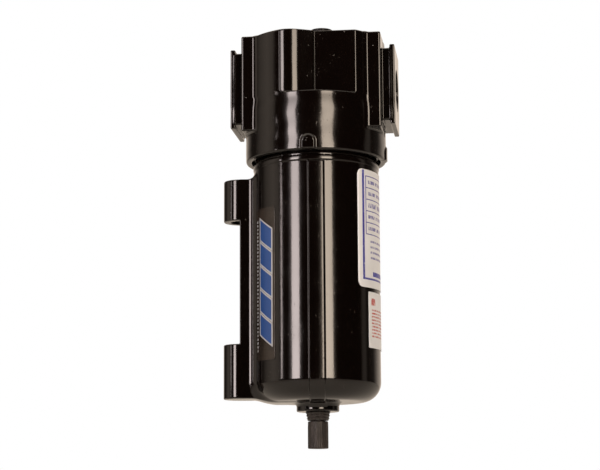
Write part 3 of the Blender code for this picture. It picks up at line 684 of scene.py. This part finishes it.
def printed(paint, ink, mask, grain):
    """Ink on white laminated paper, slightly worn and uneven."""
    wear = paint.between(grain, 0.30, 0.42, 0.55, 1.0)
    cloud = paint.between(paint.noise(11.0), 0.35, 0.65, 0.0, 1.0)
    white = paint.mix(cloud, tuple(0.93 * c for c in LABEL_WHITE), LABEL_WHITE)
    return paint.mix(paint.math("MULTIPLY", mask, wear), white, ink)


def rating_frame(paint, u, v):
    """The data plate's blue border, its bold bar near the foot and the lines of its five rows."""
    left, right, low, high = edges_mm(RATING)
    foot = low + 4.6
    lines = [
        paint.bar(u, v, left + 3.0, left + 4.4, foot, high - 0.4),
        paint.bar(u, v, right - 4.0, right - 3.1, foot, RATING_TOP),
        paint.bar(u, v, left + 3.0, right - 3.1, foot - 0.9, foot),
        paint.bar(u, v, left + 11.0, right - 11.0, foot + 1.0, foot + 3.2),
    ]
    for row in RATING_ROWS:
        lines.append(paint.bar(u, v, left + 5.4, right - 5.0, row - 0.22, row + 0.22))
    for side in (left + 5.6, right - 5.0):
        lines.append(paint.bar(u, v, side - 0.25, side + 0.25, RATING_ROWS[-1], RATING_TOP))
    return lines


def rating_bars(paint, u, v):
    """Plain bars in place of words: three in each row, and four long ones below the rows."""
    left, right, _, _ = edges_mm(RATING)
    bars = []
    for i, row in enumerate(RATING_ROWS[:-1]):
        middle = row - ROW_PITCH / 2
        half = 1.1 if i == 2 else 0.8
        for start, end in ((7.4, 13.6 + i % 3), (14.8 + i % 3, 24.0), (26.0, 38.0 - 2 * (i % 2))):
            bars.append(paint.bar(u, v, left + start, left + end, middle - half, middle + half))
    for i in range(4):
        line = RATING_ROWS[-1] - 3.4 - 2.6 * i
        bars.append(paint.bar(u, v, left + 9.0, right - 9.0 - i, line - 0.5, line + 0.5))
    return bars


def rating_print():
    """A ruled data plate: a blue frame with plain broken bars for what it holds."""
    paint = Paint("rating_print")
    u, v = paint.bent()
    grain = paint.noise(0.7, 2.0)
    broken = paint.between(paint.noise(0.9, 1.0, (1, 1, 0.35)), 0.42, 0.5, 0.25, 0.85)
    solid = paint.any_of(rating_frame(paint, u, v))
    bars = paint.math("MULTIPLY", paint.any_of(rating_bars(paint, u, v)), broken)
    colour = printed(paint, INK_BLUE, paint.math("MAXIMUM", solid, bars), grain)
    return paint.finish(colour, paint.between(grain, 0.3, 0.7, 0.30, 0.42), paint.bump(grain, 0.004))


def batch_print():
    """A small tag: one red block over a column of short red bars."""
    paint = Paint("batch_print")
    u, v = paint.bent()
    left, right, _, high = edges_mm(BATCH)
    marks = [paint.bar(u, v, left + 2.2, left + 6.0, high - 6.4, high - 3.0)]
    for i in range(9):
        line = high - 8.6 - 1.55 * i
        marks.append(paint.bar(u, v, left + 2.6, right - 3.0 - (i % 3), line - 0.4, line + 0.4))
    grain = paint.noise(0.6, 2.0)
    broken = paint.between(paint.noise(1.1, 1.0, (1, 1, 0.5)), 0.44, 0.52, 0.35, 1.0)
    mask = paint.math("MULTIPLY", paint.any_of(marks), broken)
    colour = printed(paint, INK_RED, mask, grain)
    return paint.finish(colour, paint.between(grain, 0.3, 0.7, 0.34, 0.46), paint.bump(grain, 0.004))


def badge_blocks(paint, u, v):
    """The masks of five slanted blocks and of their outlines."""
    left, right, low, high = edges_mm(BADGE)
    slant, count = 0.62, 5
    slanted = paint.math("ADD", v, paint.math("MULTIPLY", u, slant))
    shift = slant * (left + right) / 2
    pitch = (high - low - 16.0) / count
    outlines, blocks = [], []
    for i in range(count):
        top = high - 7.0 - pitch * i + shift
        foot = top - pitch + 1.4
        outlines.append(paint.bar(u, slanted, left + 4.2, right - 1.4, foot - 0.6, top + 0.6))
        blocks.append(paint.bar(u, slanted, left + 5.0, right - 2.2, foot + 0.2, top - 0.2))
    return paint.any_of(blocks), paint.any_of(outlines)


def badge_ticks(paint, u, v):
    """The mask of a column of short ticks beside the blocks."""
    left, _, low, high = edges_mm(BADGE)
    row = paint.math("FRACT", paint.math("MULTIPLY", v, 0.55))
    strip = paint.bar(u, v, left + 1.4, left + 2.6, low + 4.0, high - 5.0)
    return paint.math("MULTIPLY", strip, paint.math("COMPARE", row, 0.5, 0.27))


def badge_print():
    """A dark clear film with five slanted blue blocks in white outlines and a column of ticks."""
    dark, pale = (0.010, 0.007, 0.005), (0.022, 0.016, 0.012)
    paint = Paint("badge_print")
    u, v = paint.bent()
    blocks, outlines = badge_blocks(paint, u, v)
    grain = paint.noise(0.8, 2.0)
    film = paint.mix(paint.between(paint.noise(7.0), 0.4, 0.6, 0.0, 1.0), dark, pale)
    white = paint.math("MAXIMUM", outlines, badge_ticks(paint, u, v))
    colour = paint.mix(white, film, (0.36, 0.38, 0.41))
    colour = paint.mix(blocks, colour, (0.017, 0.060, 0.22))
    return paint.finish(colour, paint.between(grain, 0.3, 0.7, 0.16, 0.26), paint.bump(grain, 0.003))


# ---------------------------------------------------------------- pieces

# Levels lie close together where the outline turns, and further apart where it runs straight
BOWL_LEVELS = (
    (-158, -140, 0.5),
    (-140, -126, 1.4),
    (-126, -122, 0.5),
    (-122, -66, 1.6),
    (-66, -62.5, 0.5),
    (-62.5, -48, 1.4),
    (-48, -36, 0.45),
    (-36, -21, 1.2),
    (-21, -13, 0.5),
)
DRAIN_LEVELS = ((-161.2, -155.6, 0.22), (-155.6, -144.6, 0.45), (-144.6, -105.8, 0.7))


def castings(black):
    cell = 0.6
    across, deep, tall = even(-42, 42, cell), even(-37, 37, cell), even(-38, 27, cell)
    head = net("head_shell", head_shape, cell, across, deep, tall)
    place(head, "head", "head_casting", "enamel", black)
    across, deep = even(-47, 33, cell), even(-33, 33, cell)
    bowl = net("bowl_shell", bowl_shape, cell, across, deep, spaced(*BOWL_LEVELS))
    place(bowl, "bowl", "bowl_casting", "enamel", black, turned=True)


def drain_pieces(dark):
    cell = 0.42
    across = even(-15.2, 15.2, cell)
    drain = net("drain_shell", drain_shape, cell, across, across, spaced(*DRAIN_LEVELS))
    place(drain, "bowl", "drain_body", "drain_nylon", dark, turned=True)
    cell = 0.24
    across = even(-5.4, 5.4, cell)
    stem = net("stem_grip", stem_shape, cell, across, across, even(-174.4, -156.8, cell))
    place(stem, "stem", "drain_stem", "drain_nylon", dark, turned=True)


def plug():
    cell = 0.25
    across = even(-6.0, 6.0, cell)
    piece = net("socket_plug", plug_shape, cell, across, across, even(17.0, 26.8, cell))
    finish = plain("phosphated_steel", (0.02, 0.02, 0.021), 0.4, 0.36, Metallic=0.6)
    place(piece, "head", "port_plug", "black_steel", finish)
    piece.location = (PLUG_X / 1000, PLUG_Y / 1000, 0)


def labels():
    thickness = 0.18
    for name, label, corner, node, slot, finish in (
        ("rating_plate", RATING, 3.0, "rating_label", "label_paper", rating_print()),
        ("batch_tag", BATCH, 0.6, "batch_label", "label_paper", batch_print()),
        ("badge_sheet", BADGE, 1.2, "side_badge", "badge_film", badge_print()),
    ):
        sheet = label_sheet(name, *label, corner, LABEL_R, thickness)
        place(sheet, "bowl", node, slot, finish, turned=True)


def spring():
    """The drain's spring: a coil wound in the box of its node, carried whole by the piston's body."""
    piece = coil("coil_spring", "return_spring", turns=6, wire=0.35)
    finish = plain("spring_wire", (0.40, 0.40, 0.40), 0.2, 0.28, relief_mm=0.003, Metallic=1.0)
    place(piece, "piston", "return_spring", "zinc_steel", finish)
    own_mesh(piece)


def finish_cad_nodes():
    """Materials of the solids inside, which keep their own shapes."""
    zinc = plain("zinc_plate", (0.52, 0.51, 0.47), 0.5, 0.30, relief_mm=0.004, Metallic=1.0)
    nitrile = plain("nitrile", (0.018, 0.018, 0.019), 0.35, 0.62)
    acetal = plain("acetal", (0.72, 0.70, 0.65), 0.6, 0.40, relief_mm=0.006)
    sintered = plain("sintered_sleeve", (0.78, 0.75, 0.67), 0.28, 0.85, relief_mm=0.08)
    foam = plain("closed_cell_foam", (0.060, 0.060, 0.066), 0.5, 0.80, relief_mm=0.05)
    seals = ("element_top_seal", "element_bottom_seal", "bowl_o_ring", "plug_seal")
    drain_seals = ("drain_gasket", "piston_seal", "drain_valve", "stem_o_ring")
    for finish, names in (
        (zinc, ("tie_rod", "baffle_nut", "lever_pin")),
        (nitrile, seals + drain_seals),
        (acetal, ("deflector", "baffle", "drain_cap", "pilot_lever", "drain_piston")),
        (sintered, ("filter_element",)),
        (foam, ("drain_float",)),
        (woven_wire(), ("drain_screen",)),
    ):
        for name in names:
            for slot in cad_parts[name].material_slots:
                slot.material = finish


# ---------------------------------------------------------------- studio, in metres

CAMERA_YAW = math.radians(7)
CAMERA_PITCH = math.radians(9.6)
CAMERA_ROLL = math.radians(-0.33)
CAMERA_AWAY, CAMERA_ASIDE, CAMERA_HEIGHT = 0.81, -0.0081, -0.2075
LENS_MM, SENSOR_MM = 101.4, 36.0

FLOOR_HALF, FLOOR_HEIGHT = 1.4, -0.232

# The room's brightness by direction, in degrees from the front towards the right, and its tint
WALLS = (
    (-180, 1.00), (-150, 0.70), (-136, 0.30), (-124, 0.05), (-110, 0.06), (-97, 0.42), (-80, 0.80),
    (-69, 0.66), (-63, 0.02), (0, 0.008), (92, 0.015), (96, 0.30), (103, 0.33), (108, 0.04),
    (128, 0.10), (146, 0.85), (180, 1.00),
)
WALL_TINT = (1.0, 0.84, 0.70)

# The front boxes have grids, which narrow their beams. This grid makes a box so much brighter straight ahead
GRID_SPREAD, GRID_GAIN = math.radians(76), 5.1

# Each front box: degrees to the right of the camera, width, foot, top, glow and colour. They stand 1 m from
# the head's axis. A wider, dimmer rim and edge lie over each wide box, and soften its reflection's border
NEUTRAL, WARM, OVERHEAD = (1.0, 0.86, 0.83), (1.0, 0.83, 0.67), (1.0, 0.88, 0.74)
FRONT_BOXES = (
    ("left_box", -39.4, 0.25, -0.115, 0.50, 11.5, NEUTRAL),
    ("left_rim", -40.2, 0.33, -0.115, 0.50, 1.1, NEUTRAL),
    ("left_edge", -40.5, 0.44, -0.115, 0.50, 0.35, NEUTRAL),
    ("right_box", 17.9, 0.34, -0.115, 0.50, 12.0, WARM),
    ("right_rim", 17.9, 0.42, -0.115, 0.50, 1.0, WARM),
    ("right_edge", 17.9, 0.52, -0.115, 0.50, 0.35, WARM),
    ("strip", -67.2, 0.05, -0.075, 0.165, 8.0, NEUTRAL),
)


def room():
    """White to the camera, and to every other ray a dark room that is bright behind and at the sides."""
    world = bpy.data.worlds.new("studio")
    bpy.context.scene.world = world
    world.use_nodes = True
    world.node_tree.nodes.clear()
    nodes = Nodes(world.node_tree)
    x, y, _ = nodes.axes(nodes.node("ShaderNodeTexCoord").outputs["Generated"])
    around = nodes.math("ARCTAN2", x, nodes.math("MULTIPLY", y, -1.0))
    walls = nodes.node("ShaderNodeValToRGB")
    nodes.link(nodes.math("MULTIPLY_ADD", around, 1 / math.tau, 0.5), walls.inputs[0])
    stops = walls.color_ramp.elements
    for i, (degrees, level) in enumerate(WALLS):
        stop = stops[i] if i < 2 else stops.new(1.0)
        stop.position = degrees / 360 + 0.5
        stop.color = (*(level * tint for tint in WALL_TINT), 1.0)
    dark = nodes.node("ShaderNodeBackground")
    nodes.link(walls.outputs["Color"], dark.inputs["Color"])
    white = nodes.node("ShaderNodeBackground")
    nodes.link((1, 1, 1, 1), white.inputs["Color"])
    mix = nodes.node("ShaderNodeMixShader")
    nodes.link(nodes.node("ShaderNodeLightPath").outputs["Is Camera Ray"], mix.inputs[0])
    nodes.link(dark.outputs[0], mix.inputs[1])
    nodes.link(white.outputs[0], mix.inputs[2])
    nodes.link(mix.outputs[0], nodes.node("ShaderNodeOutputWorld").inputs["Surface"])


def pale_floor():
    signs = ((-1, -1), (1, -1), (1, 1), (-1, 1))
    points = np.array([(a * FLOOR_HALF, b * FLOOR_HALF, FLOOR_HEIGHT) for a, b in signs])
    floor = mesh_of("floor", points, np.array([(0, 1, 2, 3)]))
    floor.data.materials.append(plain("pale_floor", (0.76, 0.75, 0.73), 2.0, 0.7, shade=0.97))


def soft_box(name, at, towards, width, height, colour, power):
    light = bpy.data.lights.new(name, "AREA")
    light.shape = "RECTANGLE"
    light.size, light.size_y = width, height
    light.color, light.energy = colour, power
    holder = bpy.data.objects.new(name, light)
    bpy.context.scene.collection.objects.link(holder)
    holder.location = at
    holder.rotation_euler = (Vector(towards) - Vector(at)).to_track_quat("-Z", "Y").to_euler()
    holder.visible_camera = False
    return light


def lights():
    """Seven boxes in front, and a large one overhead."""
    for name, turn, width, low, high, glow, colour in FRONT_BOXES:
        angle = CAMERA_YAW + math.radians(turn)
        middle, tall = (low + high) / 2, high - low
        at = (math.sin(angle), -math.cos(angle), middle)
        power = math.pi * width * tall * glow / GRID_GAIN
        box = soft_box(name, at, (0, 0, middle), width, tall, colour, power)
        box.spread = GRID_SPREAD
    size, height, power = 2.8, 1.5, 28
    soft_box("overhead", (0, 0.1, height), (0, 0.1, 0), size, size, OVERHEAD, power)


def camera():
    lens = bpy.data.cameras.new("camera")
    lens.lens, lens.sensor_width = LENS_MM, SENSOR_MM
    holder = bpy.data.objects.new("camera", lens)
    bpy.context.scene.collection.objects.link(holder)
    sine, cosine = math.sin(CAMERA_YAW), math.cos(CAMERA_YAW)
    holder.location = (
        CAMERA_AWAY * sine + CAMERA_ASIDE * cosine,
        -CAMERA_AWAY * cosine + CAMERA_ASIDE * sine,
        CAMERA_HEIGHT,
    )
    level = Euler((math.pi / 2 + CAMERA_PITCH, 0, CAMERA_YAW)).to_matrix()
    holder.rotation_euler = (level @ Matrix.Rotation(CAMERA_ROLL, 3, "Z")).to_euler()
    bpy.context.scene.camera = holder


bpy.context.scene.view_settings.view_transform = "Standard"
castings(enamel())
drain_pieces(nylon())
plug()
labels()
spring()
finish_cad_nodes()
room()
pale_floor()
lights()
camera()
